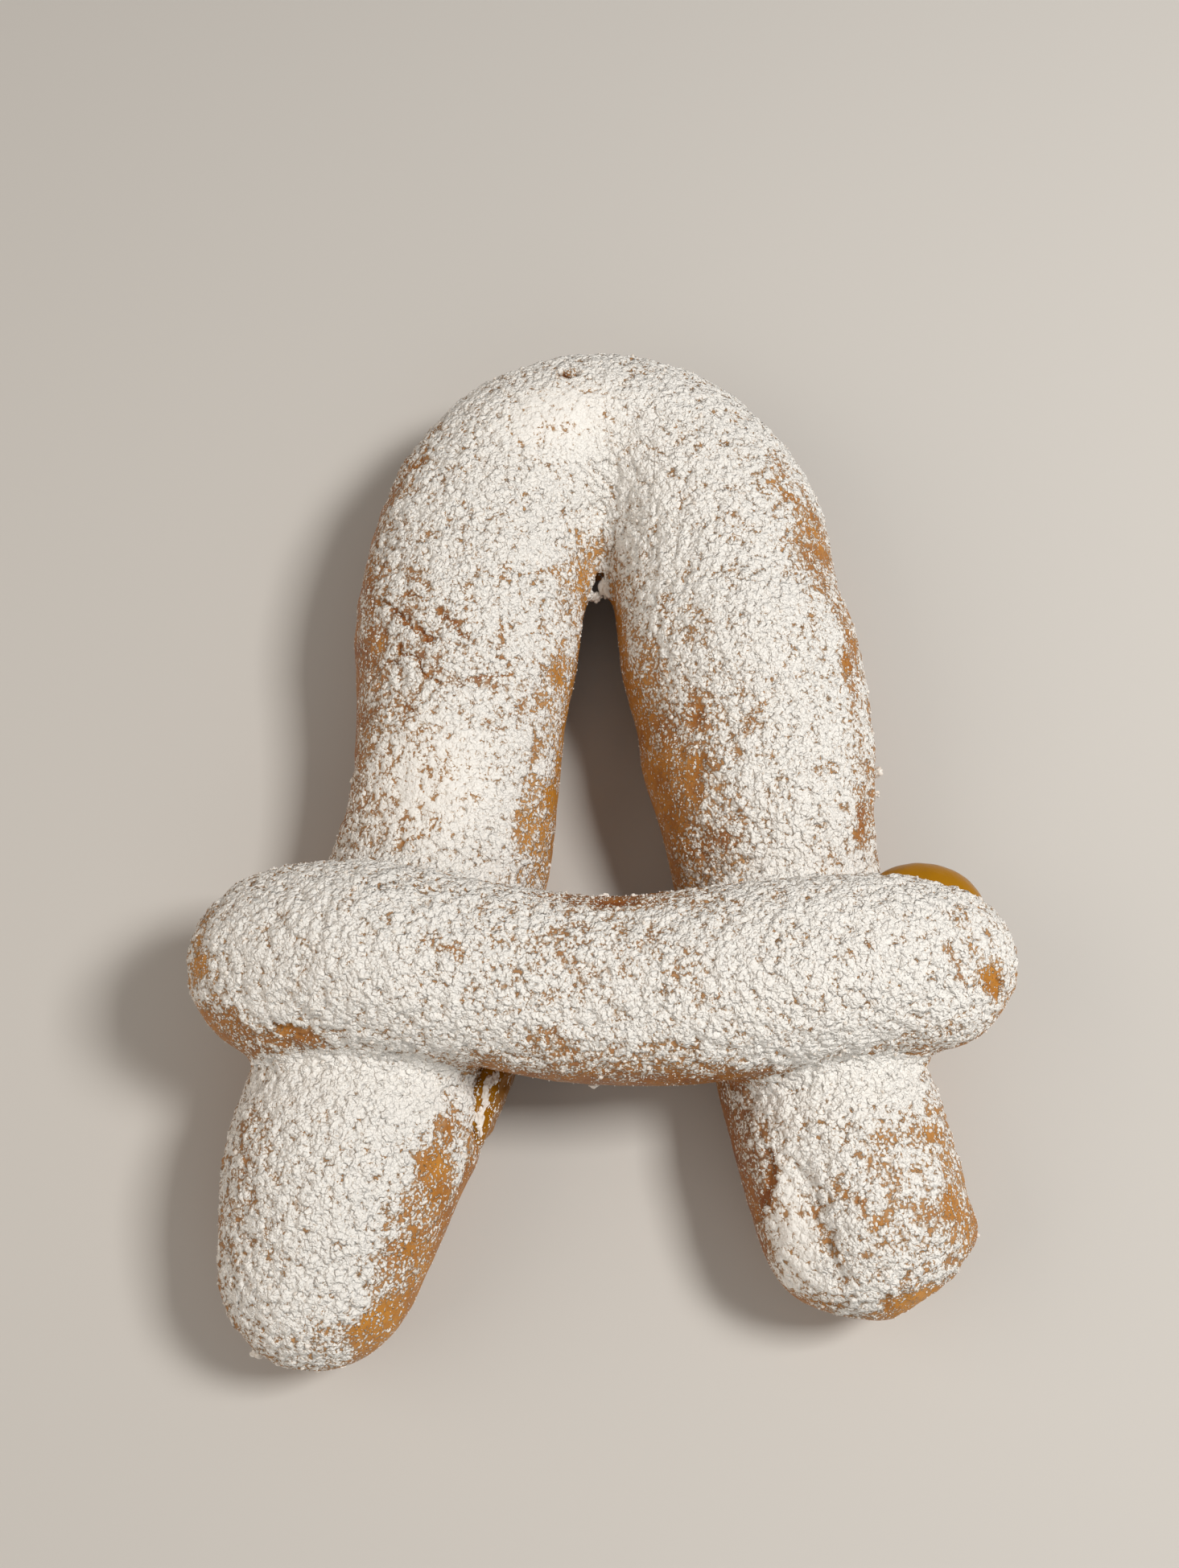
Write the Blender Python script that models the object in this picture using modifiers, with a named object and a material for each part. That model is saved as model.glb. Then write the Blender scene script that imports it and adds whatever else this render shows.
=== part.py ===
"""Sugared milk bread roll, shaped from two ropes of yeast dough.

A long rope is bent into an arch with two feet. A short rope lies across both
legs, and fruit filling has run out of the seam where the ropes meet.

Metres, +Z up. The arch's bend points to +Y and the bar runs along X. The
origin is the middle of the roll's bounding box, on the surface it rests on.
"""

import math

import bmesh
import bpy
from mathutils import Matrix, Vector, noise

# Gaps and mesh fineness
GAP = 0.0003
VOXEL = 0.0021
SKIN_PASSES = 6
CREASE_PASSES = 3
PATH_STEPS = 5
CAP_STEPS = 7
END_RADIUS = 0.0006
ARCH_TRIANGLES = 5200
BAR_TRIANGLES = 2400
TABLE_SIZE = 0.30
TABLE_DEPTH = 0.03

# Long rope. Dough sags as it proves, so the rope is lower than it is wide,
# and its underside is flat where it settled. Each station is x, y, half width,
# and how far the bar presses the rope down there.
ARCH_SQUASH = 0.84
SETTLED = 0.0025
LEFT_LEG = (
    (-0.0512, -0.0826, 0.0194, 0.0000),
    (-0.0484, -0.0710, 0.0219, 0.0000),
    (-0.0452, -0.0597, 0.0225, 0.0010),
    (-0.0426, -0.0500, 0.0216, 0.0030),
    (-0.0395, -0.0340, 0.0219, 0.0065),
    (-0.0345, -0.0170, 0.0216, 0.0050),
    (-0.0304, -0.0034, 0.0213, 0.0015),
    (-0.0288, 0.0100, 0.0210, 0.0000),
    (-0.0283, 0.0240, 0.0215, 0.0000),
    (-0.0274, 0.0350, 0.0230, 0.0000),
)
RIGHT_LEG = (
    (0.0281, 0.0350, 0.0246, 0.0000),
    (0.0311, 0.0230, 0.0233, 0.0000),
    (0.0323, 0.0090, 0.0224, 0.0000),
    (0.0336, -0.0034, 0.0208, 0.0010),
    (0.0360, -0.0170, 0.0203, 0.0045),
    (0.0390, -0.0340, 0.0199, 0.0055),
    (0.0413, -0.0500, 0.0196, 0.0025),
    (0.0444, -0.0620, 0.0202, 0.0000),
    (0.0474, -0.0740, 0.0200, 0.0000),
)
LEFT_FOOT_LENGTH = 0.0200
RIGHT_FOOT_LENGTH = 0.0182
LEFT_FOOT_BLUNTNESS = 2.0
RIGHT_FOOT_BLUNTNESS = 2.5

# Bend of the long rope: a half ellipse between the tops of the legs
BEND_CENTRE = Vector((-0.0004, 0.0465))
BEND_HALF_WIDTH = 0.0266
BEND_RISE = 0.0354
BEND_HALF_THICKNESS = 0.0236
BEND_STATIONS = 7

# Short rope, lying across both legs: x, y, height of its middle, half width
BAR_SQUASH = 0.93
BAR = (
    (-0.0562, -0.0316, 0.0275, 0.0186),
    (-0.0410, -0.0318, 0.0330, 0.0180),
    (-0.0260, -0.0342, 0.0330, 0.0166),
    (-0.0090, -0.0364, 0.0305, 0.0169),
    (0.0050, -0.0370, 0.0300, 0.0174),
    (0.0190, -0.0364, 0.0310, 0.0179),
    (0.0350, -0.0342, 0.0335, 0.0166),
    (0.0490, -0.0321, 0.0320, 0.0162),
    (0.0590, -0.0318, 0.0275, 0.0160),
)
BAR_LEFT_END = 0.0206
BAR_RIGHT_END = 0.0176
BAR_BLUNTNESS = 2.1

# Slow lumps in the dough
LUMP_HEIGHT = 0.0007
LUMP_SIZE = 0.024

# Creases and pressed places in the dough, seen from above: middle, half
# length, half width, turn from +X in degrees, and depth.
ARCH_CREASES = {
    "crotch": ((0.0008, 0.0590), 0.0130, 0.0042, 90.0, 0.0050),
    "crotch_dimple": ((0.0018, 0.0690), 0.0120, 0.0075, 90.0, 0.0024),
    "pressed_leg": ((-0.0399, -0.0020), 0.0100, 0.0080, 20.0, 0.0010),
    "foot_groove": ((0.0378, -0.0790), 0.0120, 0.0040, 105.0, 0.0024),
    "torn_corner": ((0.0600, -0.0905), 0.0050, 0.0045, 45.0, 0.0040),
}
BAR_CREASES = {
    "left_press": ((-0.0300, -0.0250), 0.0090, 0.0060, 150.0, 0.0009),
    "right_press": ((0.0380, -0.0290), 0.0110, 0.0060, 10.0, 0.0008),
}

# Filling: a bead behind the bar's right end, and a drip down the left leg
BEAD_CENTRE = Vector((0.0622, -0.0182, 0.0185))
BEAD_HALF = Vector((0.0122, 0.0092, 0.0078))
BEAD_TURN = math.radians(-8.0)
BEAD_LEAN = math.radians(20.0)
DRIP_CENTRE = Vector((-0.0226, -0.0530, 0.0130))
DRIP_HALF = Vector((0.0042, 0.0165, 0.0078))
DRIP_TURN = math.radians(-21.0)
DRIP_LEAN = math.radians(-12.0)


def clear_scene():
    for old in list(bpy.data.objects):
        bpy.data.objects.remove(old, do_unlink=True)


def new_collection(name):
    collection = bpy.data.collections.new(name)
    bpy.context.scene.collection.children.link(collection)
    return collection


def material(name, colour, roughness):
    made = bpy.data.materials.new(name)
    made.use_nodes = True
    shader = made.node_tree.nodes["Principled BSDF"]
    shader.inputs["Base Color"].default_value = (*colour, 1.0)
    shader.inputs["Roughness"].default_value = roughness
    shader.inputs["Metallic"].default_value = 0.0
    made.diffuse_color = (*colour, 1.0)
    return made


# ---------------------------------------------------------------- rope paths

def spline_between(before, start, end, after, t):
    """Catmull-Rom blend of four stations."""
    return 0.5 * (
        2.0 * start
        + (end - before) * t
        + (2.0 * before - 5.0 * start + 4.0 * end - after) * t * t
        + (3.0 * start - before - 3.0 * end + after) * t ** 3
    )


def smooth_path(stations):
    """Points with radius along a smooth line through the stations."""
    points = [Vector(station) for station in stations]
    ends = [2.0 * points[0] - points[1]] + points + [2.0 * points[-1] - points[-2]]
    path = []
    for i in range(1, len(ends) - 2):
        for step in range(PATH_STEPS):
            t = step / PATH_STEPS
            path.append(spline_between(ends[i - 1], ends[i], ends[i + 1], ends[i + 2], t))
    path.append(points[-1])
    return path


def rounded_end(last, inner, length, bluntness):
    """Points that close a rope with a domed end beyond its last station."""
    direction = (last.xyz - inner.xyz).normalized()
    cap = []
    for step in range(1, CAP_STEPS + 1):
        share = math.sin(0.5 * math.pi * step / CAP_STEPS)
        radius = last.w * max(0.0, 1.0 - share ** bluntness) ** (1.0 / bluntness)
        place = last.xyz + direction * (length * share)
        cap.append(Vector((*place, max(radius, END_RADIUS))))
    return cap


def bend_stations():
    """Stations over the top of the arch, from the left leg to the right."""
    stations = []
    for i in range(BEND_STATIONS):
        angle = math.pi * (1.0 - i / (BEND_STATIONS - 1))
        stations.append((
            BEND_CENTRE.x + BEND_HALF_WIDTH * math.cos(angle),
            BEND_CENTRE.y + BEND_RISE * math.sin(angle),
            BEND_HALF_THICKNESS,
            0.0,
        ))
    return stations


def settled_stations():
    """The long rope's stations with the height that it settled to."""
    stations = []
    for x, y, half_width, pressed in LEFT_LEG + tuple(bend_stations()) + RIGHT_LEG:
        middle = half_width * ARCH_SQUASH - SETTLED - pressed
        stations.append((x, y, middle, half_width))
    return stations


def closed_path(stations, first_length, last_length, first_bluntness, last_bluntness):
    path = smooth_path(stations)
    first = rounded_end(path[0], path[1], first_length, first_bluntness)
    last = rounded_end(path[-1], path[-2], last_length, last_bluntness)
    return first[::-1] + path + last


# ---------------------------------------------------------------- rope solids

def rope_curve(name, path, squash, collection):
    """A round rope along the path. Heights are stretched here and squashed later."""
    curve = bpy.data.curves.new(name, "CURVE")
    curve.dimensions = "3D"
    curve.bevel_depth = 1.0
    curve.bevel_resolution = 8
    curve.use_fill_caps = True
    spline = curve.splines.new("POLY")
    spline.points.add(len(path) - 1)
    for point, place in zip(spline.points, path):
        point.co = (place.x, place.y, place.z / squash, 1.0)
        point.radius = place.w
    rope = bpy.data.objects.new(name, curve)
    collection.objects.link(rope)
    return rope


def evaluated_mesh(piece):
    """The piece's mesh as its modifiers leave it, with loose caps welded."""
    bpy.context.view_layer.update()
    depsgraph = bpy.context.evaluated_depsgraph_get()
    mesh = bpy.data.meshes.new_from_object(piece.evaluated_get(depsgraph))
    shape = bmesh.new()
    shape.from_mesh(mesh)
    bmesh.ops.remove_doubles(shape, verts=shape.verts, dist=1e-6)
    shape.to_mesh(mesh)
    shape.free()
    return mesh


def apply_modifiers(piece):
    mesh = evaluated_mesh(piece)
    piece.modifiers.clear()
    piece.data = mesh


def mesh_from_curve(curve_object, squash):
    """Turn the curve into a mesh object with its real, squashed height."""
    name = curve_object.name
    mesh = evaluated_mesh(curve_object)
    mesh.transform(curve_object.matrix_world)
    mesh.transform(Matrix.Diagonal((1.0, 1.0, squash, 1.0)))
    collection = curve_object.users_collection[0]
    bpy.data.objects.remove(curve_object, do_unlink=True)
    piece = bpy.data.objects.new(name, mesh)
    collection.objects.link(piece)
    return piece


def even_skin(piece):
    """One closed skin of even faces over the whole shape."""
    remesh = piece.modifiers.new("Skin", "REMESH")
    remesh.mode = "VOXEL"
    remesh.voxel_size = VOXEL
    apply_modifiers(piece)


def soften(piece, passes):
    smooth = piece.modifiers.new("Soften", "SMOOTH")
    smooth.factor = 0.5
    smooth.iterations = passes
    apply_modifiers(piece)


def crease_depth(place, crease):
    """How far a crease presses down the dough at a place, seen from above."""
    middle, half_length, half_width, turn, depth = crease
    away = Vector((place.x - middle[0], place.y - middle[1]))
    angle = math.radians(turn)
    along = (away.x * math.cos(angle) + away.y * math.sin(angle)) / half_length
    across = (away.y * math.cos(angle) - away.x * math.sin(angle)) / half_width
    return depth * math.exp(-(along ** 4) - across ** 2)


def shape_dough(piece, creases, seed):
    """Slow lumps all over, and creases pressed into the upper side."""
    shape = bmesh.new()
    shape.from_mesh(piece.data)
    shape.normal_update()
    offset = Vector((seed * 0.37, seed * 0.61, seed * 0.83))
    moves = []
    for vert in shape.verts:
        lump = noise.noise(vert.co / LUMP_SIZE + offset) * LUMP_HEIGHT
        facing_up = max(0.0, vert.normal.z)
        pressed = sum(crease_depth(vert.co, crease) for crease in creases.values())
        moves.append(vert.normal * lump - Vector((0.0, 0.0, pressed * facing_up)))
    for vert, move in zip(shape.verts, moves):
        vert.co += move
    shape.to_mesh(piece.data)
    shape.free()


def fewer_faces(piece, triangles):
    piece.data.calc_loop_triangles()
    now = len(piece.data.loop_triangles)
    decimate = piece.modifiers.new("Fewer faces", "DECIMATE")
    decimate.ratio = min(1.0, triangles / now)
    decimate.use_collapse_triangulate = True
    apply_modifiers(piece)


def prove(piece, creases, seed, triangles):
    """Give a swept rope the soft, uneven skin of risen dough."""
    even_skin(piece)
    soften(piece, SKIN_PASSES)
    shape_dough(piece, creases, seed)
    soften(piece, CREASE_PASSES)
    fewer_faces(piece, triangles)


def cut_away(piece, cutter):
    cut = piece.modifiers.new("Cut by " + cutter.name, "BOOLEAN")
    cut.operation = "DIFFERENCE"
    cut.object = cutter


def as_cutter(piece, collection):
    for old in piece.users_collection:
        old.objects.unlink(piece)
    collection.objects.link(piece)
    piece.hide_render = True
    piece.display_type = "WIRE"


def table_cutter(collection):
    """A block below the surface that the roll rests on."""
    block = bmesh.new()
    bmesh.ops.create_cube(block, size=1.0)
    bmesh.ops.scale(block, vec=(TABLE_SIZE, TABLE_SIZE, TABLE_DEPTH), verts=block.verts)
    bmesh.ops.translate(block, vec=(0.0, 0.0, -0.5 * TABLE_DEPTH), verts=block.verts)
    mesh = bpy.data.meshes.new("table_cutter")
    block.to_mesh(mesh)
    block.free()
    cutter = bpy.data.objects.new("table_cutter", mesh)
    collection.objects.link(cutter)
    as_cutter(cutter, collection)
    return cutter


def swollen_cutter(piece, name, collection):
    """A copy of a finished piece, larger by the gap all round."""
    mesh = evaluated_mesh(piece)
    cutter = bpy.data.objects.new(name, mesh)
    collection.objects.link(cutter)
    swell = cutter.modifiers.new("Gap", "DISPLACE")
    swell.mid_level = 0.0
    swell.strength = GAP
    as_cutter(cutter, collection)
    return cutter


# ---------------------------------------------------------------- the pieces

def make_arch(collection, cutters):
    path = closed_path(
        settled_stations(), LEFT_FOOT_LENGTH, RIGHT_FOOT_LENGTH, LEFT_FOOT_BLUNTNESS, RIGHT_FOOT_BLUNTNESS
    )
    arch = mesh_from_curve(rope_curve("arch_strand", path, ARCH_SQUASH, collection), ARCH_SQUASH)
    prove(arch, ARCH_CREASES, 1, ARCH_TRIANGLES)
    cut_away(arch, table_cutter(cutters))
    return arch


def make_bar(collection, cutters, arch):
    path = closed_path(BAR, BAR_LEFT_END, BAR_RIGHT_END, BAR_BLUNTNESS, BAR_BLUNTNESS)
    bar = mesh_from_curve(rope_curve("cross_strand", path, BAR_SQUASH, collection), BAR_SQUASH)
    prove(bar, BAR_CREASES, 2, BAR_TRIANGLES)
    cut_away(bar, swollen_cutter(arch, "arch_print", cutters))
    return bar


def make_filling(name, centre, half, turn, lean, collection, neighbours):
    """A soft blob, cut to the dough that it was squeezed between."""
    blob = bmesh.new()
    bmesh.ops.create_uvsphere(blob, u_segments=24, v_segments=14, radius=1.0)
    bmesh.ops.scale(blob, vec=half, verts=blob.verts)
    turned = Matrix.Rotation(turn, 3, "Z") @ Matrix.Rotation(lean, 3, "X")
    bmesh.ops.rotate(blob, cent=(0.0, 0.0, 0.0), matrix=turned, verts=blob.verts)
    bmesh.ops.translate(blob, vec=centre, verts=blob.verts)
    mesh = bpy.data.meshes.new(name)
    blob.to_mesh(mesh)
    blob.free()
    piece = bpy.data.objects.new(name, mesh)
    collection.objects.link(piece)
    for neighbour in neighbours:
        cut_away(piece, neighbour)
    return piece


def centre_on_base(pieces, cutters):
    """Put the origin at the middle of the roll's bounding box, on its base."""
    corners = []
    for piece in pieces:
        corners += [vert.co.copy() for vert in evaluated_mesh(piece).vertices]
    middle_x = 0.5 * (min(c.x for c in corners) + max(c.x for c in corners))
    middle_y = 0.5 * (min(c.y for c in corners) + max(c.y for c in corners))
    for piece in list(pieces) + list(cutters):
        piece.data.transform(Matrix.Translation((-middle_x, -middle_y, 0.0)))


def main():
    clear_scene()
    roll = new_collection("milk_bread_roll")
    cutters = new_collection("cutters")

    arch = make_arch(roll, cutters)
    bar = make_bar(roll, cutters, arch)
    dough_prints = (bpy.data.objects["arch_print"], swollen_cutter(bar, "bar_print", cutters))
    bead = make_filling("filling_bead", BEAD_CENTRE, BEAD_HALF, BEAD_TURN, BEAD_LEAN, roll, dough_prints)
    drip = make_filling("filling_drip", DRIP_CENTRE, DRIP_HALF, DRIP_TURN, DRIP_LEAN, roll, dough_prints)

    dough = material("sugared_dough", (0.78, 0.70, 0.60), 0.85)
    bar_dough = material("sugared_bar_dough", (0.80, 0.73, 0.64), 0.85)
    filling = material("fruit_filling", (0.50, 0.20, 0.012), 0.18)
    drip_filling = material("fruit_filling_drip", (0.42, 0.16, 0.014), 0.25)
    for piece, finish in ((arch, dough), (bar, bar_dough), (bead, filling), (drip, drip_filling)):
        piece.data.materials.clear()
        piece.data.materials.append(finish)
        piece.data.shade_smooth()

    centre_on_base((arch, bar, bead, drip), cutters.objects)


main()
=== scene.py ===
"""Looks of a sugared milk bread roll.

Two ropes of baked dough, dusted with icing sugar: an arch with two feet, and a
bar across its legs. Amber fruit filling has run out behind the bar's right end
and down the inner side of the left foot. Metres, +Z up, in the frame of the
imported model.
"""

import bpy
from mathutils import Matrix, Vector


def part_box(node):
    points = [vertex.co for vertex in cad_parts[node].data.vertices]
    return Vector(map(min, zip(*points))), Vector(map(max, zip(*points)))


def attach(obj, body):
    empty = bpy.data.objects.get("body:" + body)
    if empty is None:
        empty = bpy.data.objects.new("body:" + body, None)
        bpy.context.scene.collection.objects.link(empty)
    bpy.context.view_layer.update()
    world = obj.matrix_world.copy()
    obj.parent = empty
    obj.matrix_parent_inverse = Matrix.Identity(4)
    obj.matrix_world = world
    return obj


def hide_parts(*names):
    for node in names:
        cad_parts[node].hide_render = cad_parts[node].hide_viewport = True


bl_info = {
    "name": "Milk Bread Roll",
    "version": (1, 0, 0),
    "blender": (4, 5, 0),
    "location": "3D View > Sidebar > Bread",
    "description": "Builds a sugared milk bread roll around its packed frame",
    "category": "Object",
}

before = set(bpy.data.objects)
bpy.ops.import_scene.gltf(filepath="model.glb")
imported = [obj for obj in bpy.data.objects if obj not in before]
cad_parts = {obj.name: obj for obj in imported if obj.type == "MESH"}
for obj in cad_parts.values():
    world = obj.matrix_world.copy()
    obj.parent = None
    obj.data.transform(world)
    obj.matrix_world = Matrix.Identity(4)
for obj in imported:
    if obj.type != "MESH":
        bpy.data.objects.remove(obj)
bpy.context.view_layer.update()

import math

import bmesh
import bpy
import numpy as np
from mathutils import Euler, Matrix, Vector, noise
from mathutils.bvhtree import BVHTree

BODY = "root"
DOUGH_SLOT = "sugared_dough"
FILLING_SLOT = "fruit_filling"

# Camera: its place, how far it looks down, and its lens and film in millimetres
CAMERA_PLACE = Vector((-0.00224, -0.10488, 0.31842))
CAMERA_DOWN = math.radians(69.7)
CAMERA_LENS = 36.94
CAMERA_FILM = 36.0

MM = 0.001

# Seeds. Without the first, noise_vector starts somewhere else in each run.
NOISE_SEED = 7
CLUMP_SEED = 6
RIPPLE_SEED = 8
LOOSE_SEEDS = {"arch": 11, "bar": 12}
LUMP_SEED = 21

# Sizes of the surface, in metres
FILLING_VOXEL = 0.0004     # faces on the filling
FILLING_RIPPLE = 0.0028    # width of the filling's ripples
DIMPLE_SIZE = 0.0035       # width of the crust's slow dimples
SUGAR_DIMPLES = 0.00028    # height of the dimples where sugar lies on them
CRUST_BELOW = 0.0008       # how far the crust lies below the layer of sugar
LEAST_LAYER = 0.00005      # thickness of the layer where the sugar is missing
CRUST_SINKS = 1.2          # depth of a crack in the crust, as a share of that in the sugar
UNDERSIDE = -0.25          # sugar lies where a normal's Z is more than this
ABOVE_ALL = 0.05           # a height over the whole roll

# Uneven rims: width of the waves, and how far they move a place
RAGGED_WAVES = ((0.0021, 0.0010), (0.0008, 0.0005))

# The crotch stays open here: from and to along the roll, half width, and how far
# from the dough the filled seam is left out
CROTCH_FRONT, CROTCH_BACK = 0.040, 0.0522
CROTCH_HALF_WIDTH = 0.010
CROTCH_CLEARANCE = 0.0011

# Loose sugar: how often its ball is divided, and its least and greatest radius
LOOSE_SUGAR = {
    "grains": (1, 0.00009, 0.00019),
    "balls": (2, 0.00018, 0.00042),
}

# Filling: node, thick and thin colour, sugar on it (less than 0: none), and its
# swell and ripples in millimetres
FILLINGS = {
    "jam_bead": ("filling_bead", "colour", "thin_colour", -1.0, -0.3, 0.1),
    "jam_drip": ("filling_drip", "seam_shade_colour", "colour", -0.05, 0.3, 0.5),
}

# Lamps: place, width and colour
LAMPS = {
    "key": (Vector((0.50, 0.02, 0.72)), 0.22, (1.0, 0.965, 0.92)),
    "front": (Vector((0.10, -0.80, 0.45)), 0.8, (1.0, 0.95, 0.88)),
    "fill": (Vector((-0.70, -0.10, 0.45)), 0.8, (1.0, 0.85, 0.71)),
}

# The tables below are seen from above, in millimetres.
# Patches: middle, half length, half width, turn from +X in degrees, how much
# sugar is missing there (less than 0: extra), and the crust's tone, from 0 for
# golden to 1 for dark reddish brown (None leaves it alone).
ARCH_PATCHES = {
    "inner_left_leg": ((-10.5, 10), 38, 5.0, 83, 0.28, 0.05),
    "inner_left_leg_flecks": ((-12, -4), 13, 4.0, 80, 0.10, 0.10),
    "crotch_left": ((-4, 51), 10, 4.0, 60, 0.22, 0.10),
    "inner_right_leg": ((9, 17), 42, 5.0, 102, 0.46, 0.32),
    "inner_right_leg_low": ((16, -1), 17, 4.8, 100, 0.22, 0.42),
    "right_leg_speckle": ((18.5, 8), 32, 6.5, 100, 0.24, 0.55),
    "right_leg_cluster": ((24, -8.5), 6, 3.0, 10, 0.26, 0.75),
    "right_shoulder": ((40.5, 57), 19, 6.2, 118, 0.27, 0.55),
    "right_shoulder_rim": ((46.5, 44), 30, 4.0, 108, 0.22, 0.50),
    "right_rim": ((50, 8), 32, 3.4, 93, 0.34, 0.55),
    "right_leg_top": ((32, 12), 44, 14, 97, 0.05, None),
    # Painted shade: a little less sugar where the left leg faces away from the key light.
    "left_leg_painted_shade": ((-33, 0), 22, 14, 92, 0.06, None),
    "left_outer_side": ((-49.5, 32), 50, 6.0, 91, 0.46, 0.70),
    "left_strand_west": ((-41, 28), 50, 9.0, 91, 0.16, 0.70),
    "left_shoulder": ((-42, 68), 16, 5.0, 57, 0.34, 0.60),
    "left_strand_speckle": ((-30, 29), 20, 13.0, 130, 0.18, 0.80),
    # The strip's browner tone is partly the crust's own colour and partly painted shade at its low edge.
    "left_foot_inner": ((-30.5, -75), 25, 5.0, 69, 0.60, 0.42),
    "left_foot_corner": ((-39.5, -95), 6, 4.0, 40, 0.32, 0.15),
    "left_foot_tip": ((-50, -99), 15, 3.6, 175, 0.24, 0.45),
    "left_foot_outer": ((-65, -76), 25, 4.5, 80, 0.26, 0.60),
    "left_foot_west": ((-60, -76), 26, 6.0, 80, 0.10, 0.60),
    "left_foot_seam": ((-42, -56), 18, 5.0, 178, -0.35, None),
    "beside_the_drip": ((-25.5, -62), 10, 1.4, 84, -0.45, None),
    "right_foot_seam": ((45, -56), 14, 5.0, 2, -0.30, None),
    "right_foot_left": ((26.5, -67), 19, 4.6, 97, 0.48, 0.85),
    "right_foot_speckle": ((51.5, -75), 19, 12.0, 100, 0.27, 0.35),
    "right_foot_right": ((63, -68), 16, 4.6, 100, 0.36, 0.30),
    "right_foot_corner": ((62, -79), 6, 4.5, 100, 0.32, 0.25),
    "right_foot_edge": ((37, -91.5), 7, 2.2, 0, 0.30, 0.35),
    "torn_corner": ((56.5, -91), 6, 3.0, 15, 0.38, 0.10),
    # small bare places
    "left_side_fleck": ((-43, 31.5), 2.4, 1.4, 80, 0.40, 0.30),
    "upper_wall_fleck": ((-9, 26), 4.5, 1.6, 85, 0.25, None),
    "middle_wall_fleck": ((-16, 18), 2.4, 1.4, 70, 0.40, None),
    "low_wall_fleck": ((-15.5, -7), 4.5, 2.2, 70, 0.26, None),
    "inner_low_fleck": ((-10, 2), 2.8, 1.5, 85, 0.40, None),
    "crotch_fleck": ((-4.5, 51), 3.0, 1.8, 50, 0.16, None),
    "left_shoulder_fleck": ((-42, 66), 2.6, 1.3, 60, 0.40, None),
    "bend_fleck": ((-37, 71), 2.6, 1.1, 30, 0.40, None),
    # Bare crust in the bend's slit; its darkest tone is painted shade in the deep slit.
    "bend_slit_crust_and_shade": ((-7, 90.5), 3.0, 1.5, 0, 0.30, 1.00),
    "shoulder_upper_fleck": ((37, 63.5), 3.4, 1.4, -20, 0.42, None),
    "shoulder_main_fleck": ((42.5, 58.5), 4.0, 2.0, 118, 0.16, 0.40),
    "shoulder_low_fleck": ((45, 52), 2.6, 1.6, 110, 0.26, None),
    "shoulder_flecks": ((40, 45), 10, 4.0, 110, 0.18, 0.50),
    "right_rim_fleck": ((48, 27), 3.4, 1.3, 100, 0.40, None),
    "right_rim_low_fleck": ((49.5, -4), 4.5, 1.8, 93, 0.42, None),
    "right_leg_fleck": ((18.5, 15), 3.4, 2.0, 100, 0.38, 0.80),
    "right_leg_gash": ((28.5, 12.5), 5.5, 1.5, 60, 0.34, 0.60),
    "right_leg_low_fleck": ((19, 5), 3.4, 2.4, 90, 0.36, 0.30),
    "foot_arc": ((43, -75), 3.4, 1.2, -35, 0.40, 0.60),
    "foot_top_fleck": ((50, -65), 2.4, 1.4, 20, 0.38, 0.25),
    "foot_side_fleck": ((57.5, -64), 3.0, 2.0, 20, 0.38, 0.25),
    "foot_low_fleck": ((47.5, -80), 2.4, 1.2, 20, 0.38, 0.40),
    "caramel_top": ((-27, -61), 3.2, 2.0, 70, 0.20, 0.40),
    "caramel_upper": ((-29, -68), 3.8, 2.4, 60, 0.14, 0.20),
    "caramel_middle": ((-31, -75), 3.0, 1.8, 70, 0.12, 0.50),
    "caramel_low": ((-34, -85), 3.8, 2.4, 65, 0.14, 0.20),
    "caramel_corner": ((-40.5, -95.5), 3.4, 2.2, 40, 0.42, 0.15),
}
BAR_PATCHES = {
    "left_end": ((-73.5, -36), 11, 6.5, 90, 0.30, 0.00),
    "left_end_low": ((-68, -45), 8, 4.0, 160, 0.34, 0.50),
    "left_back": ((-65, -21), 14, 4.0, 20, 0.20, 0.40),
    "left_seam": ((-56, -49), 13, 2.4, 172, 0.26, 0.60),
    "left_foot_seam": ((-40, -52.5), 20, 3.0, 178, -0.50, None),
    "right_foot_seam": ((45, -51.5), 16, 3.0, 5, -0.42, None),
    "front_band": ((2, -54), 31, 4.4, 178, 0.44, 0.60),
    "front_right": ((54, -48), 12, 2.2, 8, 0.16, 0.60),
    "back_edge": ((4, -23.5), 20, 3.0, 178, 0.42, 0.85),
    "middle_speckle": ((-3, -36), 19, 10, 10, 0.22, 0.80),
    "right_end": ((70, -38), 8, 6.0, 100, 0.28, 0.20),
    "right_back": ((66, -24), 10, 3.5, 150, 0.18, 0.30),
    "right_streak": ((61.5, -36), 5, 1.1, 110, 0.34, 0.70),
    "left_end_fleck": ((-72, -35), 2.8, 1.8, 90, 0.40, 0.05),
    "left_end_low_fleck": ((-66.5, -44.5), 3.4, 1.8, 160, 0.38, 0.60),
    "left_seam_flecks": ((-54, -48.5), 8.0, 1.5, 174, 0.30, 0.60),
    "left_middle_flecks": ((-27, -35.5), 5.0, 1.8, -12, 0.40, 0.50),
    "back_flecks": ((1, -25.5), 8.0, 1.5, 178, 0.30, 0.85),
    "front_flecks": ((-12, -48), 7.0, 1.5, 170, 0.24, 0.60),
    "right_end_fleck": ((69, -38.5), 2.8, 1.8, 110, 0.40, 0.15),
    "right_upper_fleck": ((66, -33.5), 2.2, 1.2, 160, 0.38, 0.20),
    "right_low_fleck": ((61, -45.5), 5.0, 1.3, 20, 0.30, 0.30),
}

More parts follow.
